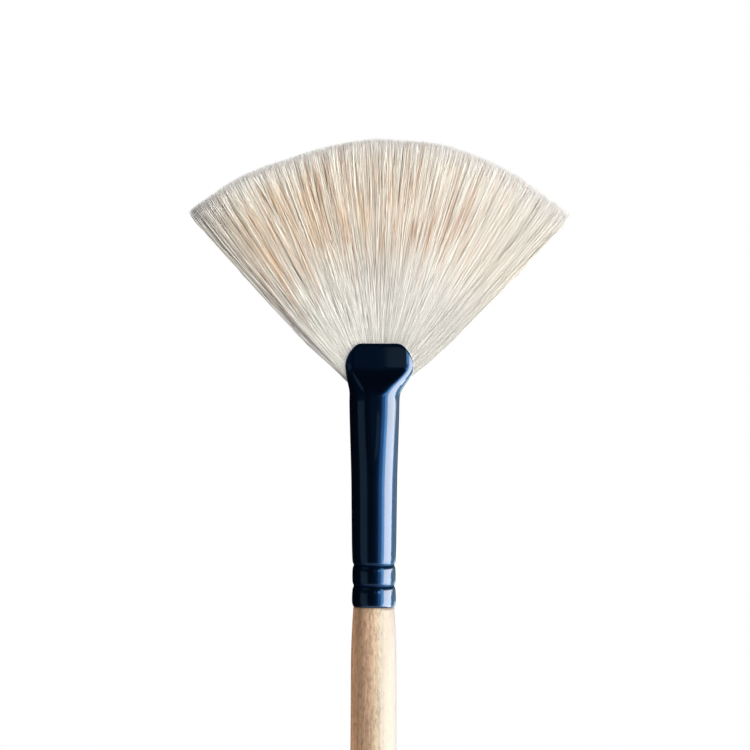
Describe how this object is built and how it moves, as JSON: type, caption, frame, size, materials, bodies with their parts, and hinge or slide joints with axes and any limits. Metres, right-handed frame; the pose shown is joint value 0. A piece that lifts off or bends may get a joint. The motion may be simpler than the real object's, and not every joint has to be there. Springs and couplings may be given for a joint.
{
  "type": "fan paint brush",
  "caption": "Long-handled fan paint brush: flat fan of pale hog bristle in a seamless dark lacquered ferrule, pressed flat at its mouth and crimped onto a turned wooden handle.",
  "frame": {"origin": "on the handle's axis at its thickest place, where a hand or a brush rack holds it", "axes": "+Z along the handle towards the bristle tips, +Y out of the back of the fan, +X across the fan"},
  "size_m": [0.0566, 0.0074, 0.3054],
  "materials": {
    "handle_wood": "bare pale wood, fine straight grain",
    "ferrule_lacquer": "high gloss dark navy lacquer",
    "resin": "clear amber",
    "thread": "matte",
    "bristle": "natural hog bristle, soft sheen"
  },
  "bodies": {
    "root": {"handle": "handle_wood", "tenon_glue": "resin", "ferrule": "ferrule_lacquer", "resin_plug": "resin", "binding_thread": "thread", "bristles_front": "bristle", "bristles_core": "bristle", "bristles_back": "bristle"}
  },
  "joints": []
}
